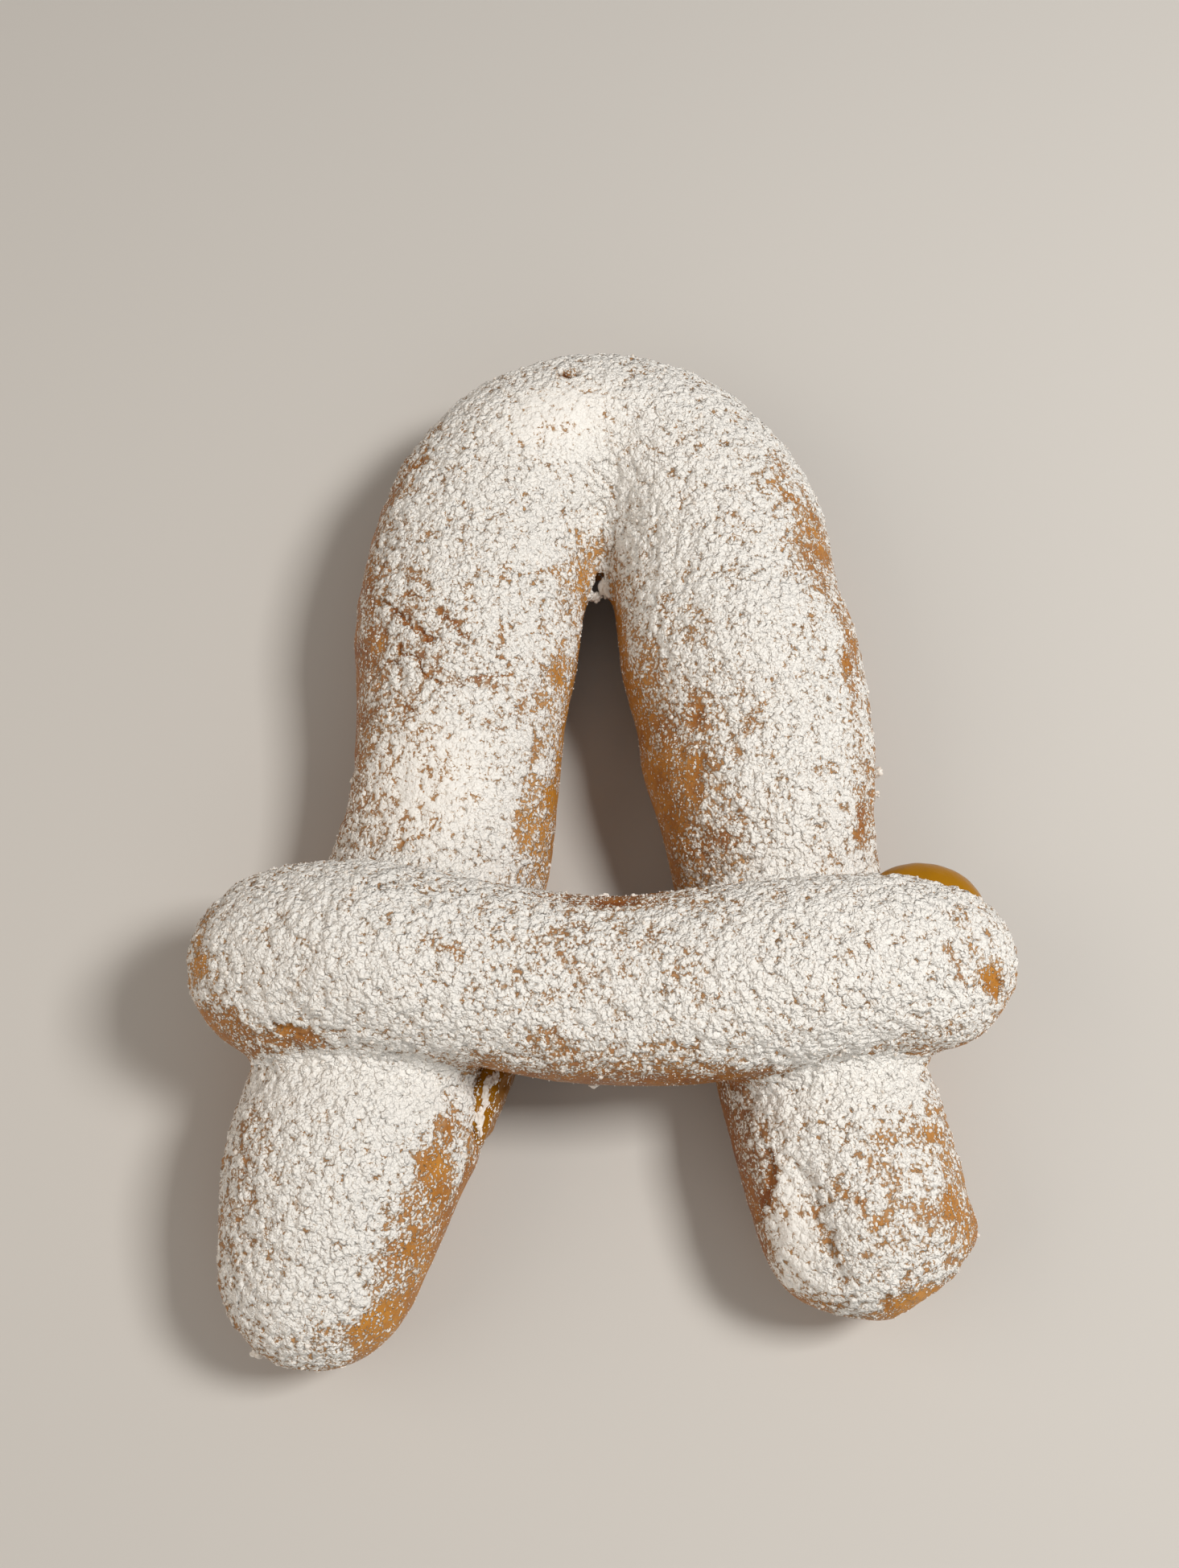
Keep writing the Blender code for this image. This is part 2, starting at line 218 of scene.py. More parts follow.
# Cracks and folds: points along the line, half width, depth and missing sugar
ARCH_CRACKS = {
    "long_crack": (((-43.5, 40.5), (-38, 34.5), (-35, 31.5), (-32.5, 30)), 0.42, 0.25, 0.54),
    "upper_crack": (((-32, 36.5), (-29.5, 34), (-27.5, 31), (-25.5, 30)), 0.38, 0.20, 0.48),
    "lower_crack": (((-39.5, 30), (-37.5, 27.5), (-34.5, 24.5), (-31, 21)), 0.42, 0.25, 0.52),
    "outer_crack": (((-41.5, 27), (-38.5, 26.5)), 0.40, 0.15, 0.42),
    "side_crack": (((-20.5, 34), (-19.5, 30.5), (-20.5, 27), (-16, 27)), 0.42, 0.15, 0.42),
    "shoulder_crack": (((-20.5, 46), (-18, 45)), 0.40, 0.12, 0.40),
    "crotch_crack": (((-15, 44.5), (-11.5, 46), (-9.5, 45.5)), 0.40, 0.12, 0.40),
    "inner_crack": (((-19.5, 42.5), (-16.5, 41.5)), 0.40, 0.12, 0.40),
    "wall_crack": (((-17, 35), (-14.5, 33)), 0.38, 0.12, 0.40),
    "low_crack": (((-38, 17), (-35, 16)), 0.40, 0.12, 0.40),
    "faint_crack": (((-39.5, 40.5), (-32, 38.5)), 0.34, 0.15, 0.30),
    "low_faint_crack": (((-24, 22.5), (-17, 23.5)), 0.38, 0.20, 0.36),
    "pressed_rim": (((-34.5, -1.5), (-32, -2.5), (-31, -4.5), (-31.5, -6.5), (-33, -9), (-37.5, -10)),
                    0.50, 0.34, 0.30),
    "bend_slit": (((-8.5, 91), (-7, 90.5), (-5, 91)), 0.65, 3.50, 0.90),
    "foot_fold": (((30.5, -66.5), (30.5, -69), (30, -72), (29, -77)), 0.70, 0.45, 0.50),
    "foot_pit": (((34, -69), (36, -72)), 0.85, 0.60, 0.34),
    "foot_groove": (((37, -74.5), (38.5, -78.5), (40, -83.5), (41.5, -89)), 1.20, 0.50, 0.28),
    "torn_lip": (((50, -91.5), (54.5, -92), (59, -90.5)), 1.00, 0.50, 0.40),
}
BAR_CRACKS = {
    "end_hole": (((68, -38.5), (68.5, -39)), 0.90, 0.60, 0.60),
    "end_tear": (((69.5, -35.5), (70.5, -38.5), (70, -42)), 0.60, 0.22, 0.30),
    "seam_gash": (((-57, -46.5), (-54.5, -47)), 0.60, 0.45, 0.60),
}

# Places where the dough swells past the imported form: middle with its height,
# reach and how far it swells
SWELLS = {
    "torn_tip": ((65.5, -80, 17), 4.5, 1.3),
    "foot_end": ((52, -93, 14), 7.0, 1.9),
    "right_leg_inside": ((9, 11, 15), 10, 1.6),
    "below_the_drip": ((-24, -66, 15), 5.0, 1.1),
}

# Places where the sugar was pressed smooth: middle, half length and width, turn
SMOOTH_PLACES = (
    ((-34, 2), 14, 13.0, 95),
    ((34, -80), 12, 3.6, 98),
    ((-9, 80), 14, 9.0, 20),
)

# Larger lumps of sugar: middle with its height, and half sizes
LUMPS = {
    "crotch_large": ((1.5, 49.5, 18.5), (1.5, 2.2, 1.3)),
    "crotch_small": ((-1, 48, 17.5), (1.3, 1.1, 1.0)),
    "right_rim_upper": ((55, 8.5, 19), (1.1, 0.9, 1.0)),
    "right_rim_lower": ((54.5, 4, 18.5), (0.7, 0.6, 0.6)),
    "bar_back_left": ((-7, -21.5, 35), (0.8, 0.5, 0.5)),
    "bar_back_middle": ((0.5, -22, 35), (0.9, 0.5, 0.5)),
    "bar_back_right": ((6, -22, 35), (0.7, 0.5, 0.5)),
    "bar_front": ((-1.5, -55, 27), (1.0, 0.5, 0.6)),
    "left_foot_outer": ((-61, -100.5, 14.5), (1.3, 0.8, 0.9)),
    "left_foot_tip": ((-57.5, -102, 14.5), (0.9, 0.6, 0.8)),
    "left_foot_middle": ((-54, -102.5, 13.5), (1.2, 0.6, 0.9)),
    "left_foot_right": ((-50.5, -103, 13.5), (1.0, 0.5, 0.8)),
    "left_foot_inner": ((-46.5, -102.5, 13.5), (0.8, 0.5, 0.7)),
}

# Sugared ridge along the top of the run-out filling, with its lumps' half sizes
RIDGE_START = (-19.6, -49.0)
RIDGE_END = (-22.6, -61.5)
RIDGE_LUMPS = 13
RIDGE_LUMP = (1.1, 0.6, 0.35)
RIDGE_SPREAD = 0.6


# ------------------------------------------------------------------ settings

LENGTH = {"precision": 5, "subtype": "DISTANCE", "unit": "LENGTH"}
COLOUR = {"size": 3, "min": 0.0, "max": 1.0, "subtype": "COLOR"}
POWER = {"min": 0.0, "max": 100.0, "subtype": "POWER", "unit": "POWER"}


class DoughSettings(bpy.types.PropertyGroup):
    arch_voxel: bpy.props.FloatProperty(
        name="Arch fineness", description="Size of the faces on the long rope",
        default=0.0009, min=0.0004, max=0.004, **LENGTH)
    bar_voxel: bpy.props.FloatProperty(
        name="Bar fineness", description="Size of the faces on the short rope",
        default=0.0007, min=0.0004, max=0.004, **LENGTH)
    dimple_height: bpy.props.FloatProperty(
        name="Dimples", description="Height of the crust's slow dimples",
        default=0.00022, min=0.0, max=0.002, **LENGTH)
    golden: bpy.props.FloatVectorProperty(
        name="Golden crust", description="Crust where the dough baked least",
        default=(0.54, 0.233, 0.030), **COLOUR)
    brown: bpy.props.FloatVectorProperty(
        name="Brown crust", description="Crust where the dough baked most",
        default=(0.22, 0.060, 0.010), **COLOUR)


class SugarSettings(bpy.types.PropertyGroup):
    voxel: bpy.props.FloatProperty(
        name="Fineness", description="Size of the faces in the layer of sugar",
        default=0.00042, min=0.0003, max=0.002, **LENGTH)
    thickness: bpy.props.FloatProperty(
        name="Thickness", description="Thickness of the sugar where it lies thickest",
        default=0.00035, min=0.0, max=0.002, **LENGTH)
    clump_size: bpy.props.FloatProperty(
        name="Clump size", description="Width of one clump of sugar",
        default=0.0021, min=0.0005, max=0.005, **LENGTH)
    clump_height: bpy.props.FloatProperty(
        name="Clump height", description="Height of the clumps over the gaps between them",
        default=0.0011, min=0.0, max=0.003, **LENGTH)
    bridge: bpy.props.FloatProperty(
        name="Bridge", description="How far sugar and dough fill the seams between the ropes",
        default=0.0022, min=0.0, max=0.004, **LENGTH)
    colour: bpy.props.FloatVectorProperty(
        name="Sugar", description="Colour of thick icing sugar",
        default=(0.92, 0.905, 0.87), **COLOUR)
    # Thin sugar: partly the colour of thin sugar over the crust, partly painted shade that darkens the
    # gaps between clumps where the bump casts no shadow.
    thin_colour: bpy.props.FloatVectorProperty(
        name="Thin sugar", description="Colour of icing sugar that the crust shows through",
        default=(0.44, 0.30, 0.18), **COLOUR)
    arch_grains: bpy.props.IntProperty(
        name="Arch grains", description="Loose grains of sugar on the long rope",
        default=6000, min=0, max=9000)
    bar_grains: bpy.props.IntProperty(
        name="Bar grains", description="Loose grains of sugar on the short rope",
        default=3000, min=0, max=9000)
    arch_balls: bpy.props.IntProperty(
        name="Arch balls", description="Small balls of sugar on the long rope",
        default=600, min=0, max=2000)
    bar_balls: bpy.props.IntProperty(
        name="Bar balls", description="Small balls of sugar on the short rope",
        default=260, min=0, max=2000)


class FillingSettings(bpy.types.PropertyGroup):
    colour: bpy.props.FloatVectorProperty(
        name="Filling", description="Colour of the fruit filling where it is thick",
        default=(0.31, 0.130, 0.001), **COLOUR)
    thin_colour: bpy.props.FloatVectorProperty(
        name="Thin filling", description="Colour of the filling near its rim",
        default=(0.36, 0.160, 0.003), **COLOUR)
    # Painted shade: the filling low in the seam is coloured darker.
    seam_shade_colour: bpy.props.FloatVectorProperty(
        name="Deep filling", description="Colour of the filling deep in the seam",
        default=(0.28, 0.110, 0.006), **COLOUR)


class StageSettings(bpy.types.PropertyGroup):
    floor_size: bpy.props.FloatProperty(
        name="Floor size", description="Width of the floor",
        default=4.0, min=0.5, max=20.0, subtype="DISTANCE", unit="LENGTH")
    floor_colour: bpy.props.FloatVectorProperty(
        name="Floor", description="Colour of the floor",
        default=(0.58, 0.565, 0.54), **COLOUR)
    key_power: bpy.props.FloatProperty(
        name="Key light", description="Power of the large lamp at the upper right",
        default=6.2, **POWER)
    front_power: bpy.props.FloatProperty(
        name="Front light", description="Power of the lamp in front",
        default=1.2, **POWER)
    fill_power: bpy.props.FloatProperty(
        name="Fill light", description="Power of the lamp at the left",
        default=2.4, **POWER)
    sky: bpy.props.FloatProperty(
        name="Room light", description="Strength of the even light from all round",
        default=0.20, min=0.0, max=5.0)


# --------------------------------------------------------------- mesh helpers

def merged_copy(node, name):
    """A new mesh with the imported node's shape and its loose triangles joined."""
    shape = bmesh.new()
    shape.from_mesh(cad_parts[node].data)
    bmesh.ops.remove_doubles(shape, verts=shape.verts, dist=1e-6)
    mesh = bpy.data.meshes.new(name)
    shape.to_mesh(mesh)
    shape.free()
    return mesh


def new_object(name, mesh):
    piece = bpy.data.objects.new(name, mesh)
    bpy.context.scene.collection.objects.link(piece)
    return piece


def apply_modifiers(piece):
    bpy.context.view_layer.update()
    depsgraph = bpy.context.evaluated_depsgraph_get()
    mesh = bpy.data.meshes.new_from_object(piece.evaluated_get(depsgraph))
    mesh.name = piece.name
    piece.modifiers.clear()
    old = piece.data
    piece.data = mesh
    bpy.data.meshes.remove(old)


def even_skin(piece, voxel, passes):
    """Cover the form with small even faces, and soften them."""
    skin = piece.modifiers.new("Skin", "REMESH")
    skin.mode = "VOXEL"
    skin.voxel_size = voxel
    soften = piece.modifiers.new("Soften", "SMOOTH")
    soften.factor = 0.5
    soften.iterations = passes
    apply_modifiers(piece)


def fine_skin(piece, voxel, passes):
    """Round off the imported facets, then give the form an even skin."""
    round_off = piece.modifiers.new("Round off", "SUBSURF")
    round_off.levels = round_off.render_levels = 2
    even_skin(piece, voxel, passes)


def push_out(piece, distance):
    push = piece.modifiers.new("Push", "DISPLACE")
    push.mid_level = 0.0
    push.strength = distance


def places_of(mesh):
    flat = np.empty(len(mesh.vertices) * 3, np.float64)
    mesh.vertices.foreach_get("co", flat)
    return flat.reshape(-1, 3)


def normals_of(mesh):
    flat = np.empty(len(mesh.vertices) * 3, np.float64)
    mesh.vertex_normals.foreach_get("vector", flat)
    return flat.reshape(-1, 3)


def move_to(mesh, places):
    mesh.vertices.foreach_set("co", places.ravel())
    mesh.update()


def store(mesh, **values):
    """Keep one number at each vertex under each given name."""
    for name, numbers in values.items():
        layer = mesh.attributes.new(name, "FLOAT", "POINT")
        layer.data.foreach_set("value", np.asarray(numbers, np.float32))


def dress(piece, material, slot, *nodes):
    """Give a finished piece its material and smooth shading, hang it on the body, and hide the imported
    nodes it replaces.
    """
    piece.data.materials.clear()
    piece.data.materials.append(material)
    piece.data.shade_smooth()
    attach(piece, BODY)
    if nodes:
        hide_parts(*nodes)


def smooth_step(low, high, values):
    t = np.clip((values - low) / (high - low), 0.0, 1.0)
    return t * t * (3.0 - 2.0 * t)


def seed_shift(seed):
    return Vector((seed * 3.7, seed * 1.9, seed * 5.3))


def slow_noise(places, size, seed):
    """Noise of about -1 to 1 with waves of the given size."""
    shift = seed_shift(seed)
    return np.array([noise.noise(Vector(p) / size + shift) for p in places])


# ------------------------------------------------------------- sugar and tone

def patch_share(places, middle, length, width, turn):
    """1 in the middle of a patch seen from above, falling to 0 past its rim."""
    away = places[:, :2] - np.array(middle) * MM
    angle = math.radians(turn)
    along = (away[:, 0] * math.cos(angle) + away[:, 1] * math.sin(angle)) / (length * MM)
    across = (away[:, 1] * math.cos(angle) - away[:, 0] * math.sin(angle)) / (width * MM)
    return np.exp(-(along ** 2 + across ** 2) ** 1.5)


def line_share(places, points, width):
    """1 on a line seen from above, falling to 0 past its width."""
    points = np.array(points) * MM
    nearest = np.full(len(places), np.inf)
    for start, end in zip(points[:-1], points[1:]):
        span = end - start
        from_start = places[:, :2] - start
        part = np.clip(from_start @ span / (span @ span), 0.0, 1.0)
        nearest = np.minimum(nearest, ((from_start - part[:, None] * span) ** 2).sum(axis=1))
    return np.exp(-nearest / (width * MM) ** 2)


def open_sky(places, normals, trees):
    """How much of the falling sugar reaches each place past what hangs over it."""
    reach = 0.06
    start = 0.0008
    slants = [Vector((0.0, 0.0, 1.0))]
    for i in range(4):
        angle = math.radians(45.0 + 90.0 * i)
        slants.append(Vector((0.3 * math.cos(angle), 0.3 * math.sin(angle), 1.0)).normalized())
    share = np.empty(len(places))
    for i, (place, normal) in enumerate(zip(places, normals)):
        origin = Vector(place) + Vector(normal) * start
        free = 0
        for slant in slants:
            if all(tree.ray_cast(origin, slant, reach)[0] is None for tree in trees):
                free += 1
        share[i] = free / len(slants)
    return share


def ragged(places):
    """The places moved about by up to a millimetre, for uneven rims."""
    moved = places
    for size, reach in RAGGED_WAVES:
        moved = moved + reach * np.array([noise.noise_vector(Vector(p) / size) for p in places])
    return moved


def painted(places, normals, uneven, rope, sky):
    """How thickly sugar lies (cover) and how baked the crust is (tone); in the bend's slit and the left
    foot's inner strip the dark tone is partly painted shade.
    """
    cover = 0.12 + 0.80 * smooth_step(-0.25, 0.60, normals[:, 2])
    tone = 0.45 + 0.25 * slow_noise(places, 0.012, rope.seed)
    for middle, length, width, turn, missing, baked in rope.patches.values():
        share = patch_share(uneven, middle, length, width, turn)
        cover -= share * missing
        if baked is not None:
            tone += share * (baked - tone)
    cover *= 0.3 + 0.7 * smooth_step(0.0, 0.4, sky)
    for points, width, _, missing in rope.cracks.values():
        cover -= missing * line_share(uneven, points, width)
    return np.clip(cover, 0.04, 1.2), np.clip(tone, 0.0, 1.0)


def sunk(uneven, rope):
    """How deep the rope's cracks and folds go at each place."""
    depth = np.zeros(len(uneven))
    for points, width, deep, _ in rope.cracks.values():
        depth = np.maximum(depth, deep * MM * line_share(uneven, points, width))
    return depth


def swollen(places):
    """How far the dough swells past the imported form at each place."""
    height = np.zeros(len(places))
    for middle, reach, most in SWELLS.values():
        away = ((places / MM - np.array(middle)) ** 2).sum(axis=1)
        height += most * MM * np.exp(-away / reach ** 2)
    return height


def lumpiness(places):
    """1 where the sugar lies in clumps, towards 0 where it was pressed smooth."""
    left = np.ones(len(places))
    for middle, length, width, turn in SMOOTH_PLACES:
        left -= 0.7 * patch_share(places, middle, length, width, turn)
    return np.clip(left, 0.2, 1.0)


def on_the_floor(places):
    """The places with nothing below the surface that the roll rests on."""
    places[:, 2] = np.maximum(places[:, 2], 0.0)
    return places


def store_vectors(mesh, name, values):
    layer = mesh.attributes.new(name, "FLOAT_VECTOR", "POINT")
    layer.data.foreach_set("vector", np.asarray(values, np.float32).ravel())


def vectors_in(mesh, name):
    flat = np.empty(len(mesh.vertices) * 3, np.float32)
    mesh.attributes[name].data.foreach_get("vector", flat)
    return flat.reshape(-1, 3)


# ----------------------------------------------------------------- node tools

def add_node(tree, kind, values=None, **settings):
    node = tree.nodes.new(kind)
    for name, value in settings.items():
        setattr(node, name, value)
    for socket, value in (values or {}).items():
        node.inputs[socket].default_value = value
    return node


def feed(tree, socket, value):
    if isinstance(value, bpy.types.NodeSocket):
        tree.links.new(value, socket)
    else:
        socket.default_value = value


def calculate(tree, operation, first, second=0.0, clamp=False):
    node = add_node(tree, "ShaderNodeMath", operation=operation, use_clamp=clamp)
    feed(tree, node.inputs[0], first)
    feed(tree, node.inputs[1], second)
    return node.outputs[0]


def mask_between(tree, value, low, high):
    node = add_node(
        tree, "ShaderNodeMapRange", {"From Min": low, "From Max": high}, interpolation_type="SMOOTHSTEP")
    feed(tree, node.inputs["Value"], value)
    return node.outputs["Result"]


def mix_colour(tree, share, first, second):
    node = add_node(tree, "ShaderNodeMix", data_type="RGBA")
    feed(tree, node.inputs["Factor"], share)
    feed(tree, node.inputs["A"], first)
    feed(tree, node.inputs["B"], second)
    return node.outputs["Result"]


def noise_at(tree, vector, size, detail=2.0, roughness=0.5, distortion=0.0):
    """Noise centred on 0, with waves of the given size in metres."""
    node = add_node(tree, "ShaderNodeTexNoise", {
        "Scale": 1.0 / size, "Detail": detail, "Roughness": roughness, "Distortion": distortion})
    tree.links.new(vector, node.inputs["Vector"])
    return calculate(tree, "SUBTRACT", node.outputs["Fac"], 0.5)


def new_group(name, inputs, outputs):
    """A shader node group with the named sockets, as (name, kind, default)."""
    tree = bpy.data.node_groups.new(name, "ShaderNodeTree")
    for label, kind, default in inputs:
        socket = tree.interface.new_socket(label, in_out="INPUT", socket_type=kind)
        if default is not None:
            socket.default_value = default
    for label, kind in outputs:
        tree.interface.new_socket(label, in_out="OUTPUT", socket_type=kind)
    return tree, tree.nodes.new("NodeGroupInput"), tree.nodes.new("NodeGroupOutput")


def use_group(tree, group, links):
    node = add_node(tree, "ShaderNodeGroup", node_tree=group)
    for socket, value in links.items():
        feed(tree, node.inputs[socket], value)
    return node


def crust_group():
    """Baked crust: mottled between golden and brown, with fine wrinkles."""
    tree, entry, out = new_group(
        "baked_crust",
        [("Place", "NodeSocketVector", None), ("Tone", "NodeSocketFloat", 0.5),
         ("Golden", "NodeSocketColor", None), ("Brown", "NodeSocketColor", None)],
        [("Colour", "NodeSocketColor"), ("Height", "NodeSocketFloat")])
    place = entry.outputs["Place"]
    slow = noise_at(tree, place, 0.006, detail=3.0)
    quick = noise_at(tree, place, 0.0012, detail=2.0)
    tone = calculate(tree, "ADD", entry.outputs["Tone"], calculate(tree, "MULTIPLY", slow, 1.1))
    tone = calculate(tree, "ADD", tone, calculate(tree, "MULTIPLY", quick, 0.7), clamp=True)
    colour = mix_colour(tree, tone, entry.outputs["Golden"], entry.outputs["Brown"])
    wrinkle = noise_at(tree, place, 0.0007, detail=3.0, roughness=0.6)
    tree.links.new(colour, out.inputs["Colour"])
    tree.links.new(wrinkle, out.inputs["Height"])
    return tree


def clumps_at(tree, vector, size, smoothness=None):
    """Rounded clumps centred on 0, of the given width in metres."""
    node = add_node(tree, "ShaderNodeTexVoronoi", {"Scale": 1.0 / size}, feature="F1")
    if smoothness:
        node.feature = "SMOOTH_F1"
        node.inputs["Smoothness"].default_value = smoothness
    tree.links.new(vector, node.inputs["Vector"])
    near = node.outputs["Distance"]
    return calculate(tree, "SUBTRACT", 0.22, calculate(tree, "MULTIPLY", near, near))


def stretched(tree, vector, shape):
    node = add_node(tree, "ShaderNodeVectorMath", {1: shape}, operation="MULTIPLY")
    tree.links.new(vector, node.inputs[0])
    return node.outputs[0]


def weighted(tree, start, terms):
    """The start value plus each value times its weight."""
    for value, weight in terms:
        start = calculate(tree, "ADD", start, calculate(tree, "MULTIPLY", value, weight))
    return start


def dusting_group():
    """Icing sugar lying on a crust: where it covers, how thick, and its relief. Thickness also sets the
    painted shade in the gaps between clumps.
    """
    tree, entry, out = new_group(
        "sugar_dusting",
        [("Place", "NodeSocketVector", None), ("Cover", "NodeSocketFloat", 1.0),
         ("Clump", "NodeSocketFloat", 0.5), ("Loose", "NodeSocketFloat", 1.0)],
        [("Sugar", "NodeSocketFloat"), ("Haze", "NodeSocketFloat"),
         ("Thickness", "NodeSocketFloat"), ("Height", "NodeSocketFloat")])
    place = entry.outputs["Place"]
    slow = noise_at(tree, place, 0.0050, detail=2.0)
    fine = noise_at(tree, place, 0.00032, detail=2.0, roughness=0.6)
    runs = noise_at(tree, stretched(tree, place, (1.0, 0.30, 1.0)), 0.00070, detail=1.0)
    winding = calculate(tree, "ABSOLUTE", noise_at(tree, place, 0.0026, detail=3.0, roughness=0.6))
    vein = calculate(tree, "SUBTRACT", 1.0, mask_between(tree, winding, 0.0, 0.040))

    warp = add_node(tree, "ShaderNodeTexNoise", {"Scale": 1.0 / 0.0010, "Detail": 1.0})
    tree.links.new(place, warp.inputs["Vector"])
    warped = add_node(tree, "ShaderNodeVectorMath", operation="ADD")
    tree.links.new(place, warped.inputs[0])
    tree.links.new(stretched(tree, warp.outputs["Color"], (0.0010, 0.0010, 0.0010)), warped.inputs[1])
    balls = clumps_at(tree, warped.outputs[0], 0.0014, 0.45)
    beads = clumps_at(tree, warped.outputs[0], 0.00065)

    base = calculate(tree, "SUBTRACT", calculate(tree, "MULTIPLY", entry.outputs["Cover"], 1.05), 0.38)
    clump = calculate(tree, "SUBTRACT", entry.outputs["Clump"], 0.62)
    base = weighted(tree, base, ((slow, 0.85), (clump, 0.55), (vein, -0.35)))
    depth = weighted(tree, base, ((balls, 0.75), (beads, 0.30), (fine, 0.34)))
    layer = mask_between(tree, depth, -0.06, 0.08)
    dots = weighted(tree, -0.13, (
        (entry.outputs["Cover"], 0.45), (slow, 0.7), (beads, 1.1), (fine, 0.6), (runs, 1.0)))
    sugar = calculate(tree, "MAXIMUM", layer, mask_between(tree, dots, 0.0, 0.10))
    tree.links.new(sugar, out.inputs["Sugar"])
    haze = weighted(tree, 0.0, ((entry.outputs["Cover"], 1.0), (slow, 0.8), (fine, 0.8)))
    tree.links.new(mask_between(tree, haze, 0.05, 0.80), out.inputs["Haze"])
    # Thickness is low in the gaps between clumps; the material colours these darker, partly as painted
    # shade.
    thick = calculate(tree, "MAXIMUM", depth, dots)
    tree.links.new(mask_between(tree, thick, 0.0, 0.34), out.inputs["Thickness"])
    relief = weighted(tree, 0.0, ((balls, 1.0), (beads, 0.45), (fine, 0.15)))
    relief = calculate(tree, "MULTIPLY", relief, entry.outputs["Loose"])
    relief = calculate(tree, "ADD", relief, 0.14)
    tree.links.new(calculate(tree, "MULTIPLY", relief, sugar), out.inputs["Height"])
    return tree


def new_material(name):
    made = bpy.data.materials.new(name)
    made.use_nodes = True
    return made, made.node_tree, made.node_tree.nodes["Principled BSDF"]


def places_in(tree):
    """Where on the piece the shader is, in metres."""
    return add_node(tree, "ShaderNodeTexCoord").outputs["Object"]


def raise_relief(tree, shader, height, distance):
    bump = add_node(tree, "ShaderNodeBump", {"Strength": 1.0, "Distance": distance})
    tree.links.new(height, bump.inputs["Height"])
    tree.links.new(bump.outputs["Normal"], shader.inputs["Normal"])


def dough_material(name, crust, dusting, dough, sugar):
    """Baked crust under a lumpy dusting of icing sugar."""
    made, tree, shader = new_material(name)
    place = places_in(tree)
    painted_on = {
        label: add_node(tree, "ShaderNodeAttribute", attribute_name=label).outputs["Fac"]
        for label in ("cover", "tone", "clump", "loose")}
    baked = use_group(tree, crust, {
        "Place": place, "Tone": painted_on["tone"],
        "Golden": (*dough.golden, 1.0), "Brown": (*dough.brown, 1.0)})
    dusted = use_group(tree, dusting, {
        "Place": place, "Cover": painted_on["cover"], "Clump": painted_on["clump"],
        "Loose": painted_on["loose"]})
    thin = (*sugar.thin_colour, 1.0)
    thick = (*sugar.colour, 1.0)
    haze = calculate(tree, "MULTIPLY", dusted.outputs["Haze"], 0.50)
    # Where the sugar is thin between clumps it takes the darker thin colour: partly crust showing
    # through, partly painted shade in the gaps.
    powder_with_gap_shade = mix_colour(tree, dusted.outputs["Thickness"], thin, thick)
    colour = mix_colour(tree, haze, baked.outputs["Colour"], thin)
    colour = mix_colour(tree, dusted.outputs["Sugar"], colour, powder_with_gap_shade)
    tree.links.new(colour, shader.inputs["Base Color"])
    rough = weighted(tree, 0.42, ((dusted.outputs["Sugar"], 0.33), (dusted.outputs["Haze"], 0.20)))
    tree.links.new(rough, shader.inputs["Roughness"])
    shader.inputs["Specular IOR Level"].default_value = 0.35
    height = weighted(tree, dusted.outputs["Height"], ((baked.outputs["Height"], 0.25),))
    raise_relief(tree, shader, height, 0.0011)
    return made


def sugar_material(name, sugar):
    """Loose sugar, a little uneven in colour."""
    made, tree, shader = new_material(name)
    place = places_in(tree)
    uneven = calculate(tree, "ADD", noise_at(tree, place, 0.0007, detail=2.0), 0.75, clamp=True)
    colour = mix_colour(tree, uneven, (*sugar.thin_colour, 1.0), (*sugar.colour, 1.0))
    tree.links.new(colour, shader.inputs["Base Color"])
    shader.inputs["Roughness"].default_value = 0.7
    shader.inputs["Specular IOR Level"].default_value = 0.35
    return made


def jam_material(name, thick, thin, dusting, sugar, cover):
    """Glossy filling, lighter towards its thin top rim, with some sugar on it. On the drip, the darker
    colour low in the seam is painted shade.
    """
    made, tree, shader = new_material(name)
    place = places_in(tree)
    height = add_node(tree, "ShaderNodeSeparateXYZ")
    tree.links.new(place, height.inputs[0])
    swirl = noise_at(tree, place, 0.004, detail=3.0)
    level = weighted(tree, height.outputs["Z"], ((swirl, 0.014),))
    top = mask_between(tree, level, 0.012, 0.026)
    dusted = use_group(tree, dusting, {"Place": place, "Cover": cover, "Clump": 0.62, "Loose": 1.0})
    colour = mix_colour(tree, top, (*thick, 1.0), (*thin, 1.0))
    colour = mix_colour(tree, dusted.outputs["Sugar"], colour, (*sugar.colour, 1.0))
    tree.links.new(colour, shader.inputs["Base Color"])
    tree.links.new(
        weighted(tree, 0.28, ((dusted.outputs["Sugar"], 0.45),)), shader.inputs["Roughness"])
    shader.inputs["Specular IOR Level"].default_value = 0.2
    raise_relief(tree, shader, weighted(tree, dusted.outputs["Height"], ((swirl, 0.6),)), 0.0005)
    return made


# ----------------------------------------------------------------- operators

class Rope:
    """One rope of dough: its node, and what its crust and sugar look like."""

    def __init__(self, name, node, patches, cracks, seed):
        self.name = name
        self.node = node
        self.patches = patches
        self.cracks = cracks
        self.seed = seed

    def solid(self):
        return search_tree(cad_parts[self.node].data)


ARCH = Rope("arch", "arch_strand", ARCH_PATCHES, ARCH_CRACKS, 3)
BAR = Rope("bar", "cross_strand", BAR_PATCHES, BAR_CRACKS, 4)


def search_tree(mesh):
    """A tree that finds the mesh's nearest faces and what a ray meets."""
    return BVHTree.FromPolygons([v.co for v in mesh.vertices], [p.vertices for p in mesh.polygons])


def distances(places, tree):
    return np.array([tree.find_nearest(Vector(place))[3] for place in places])


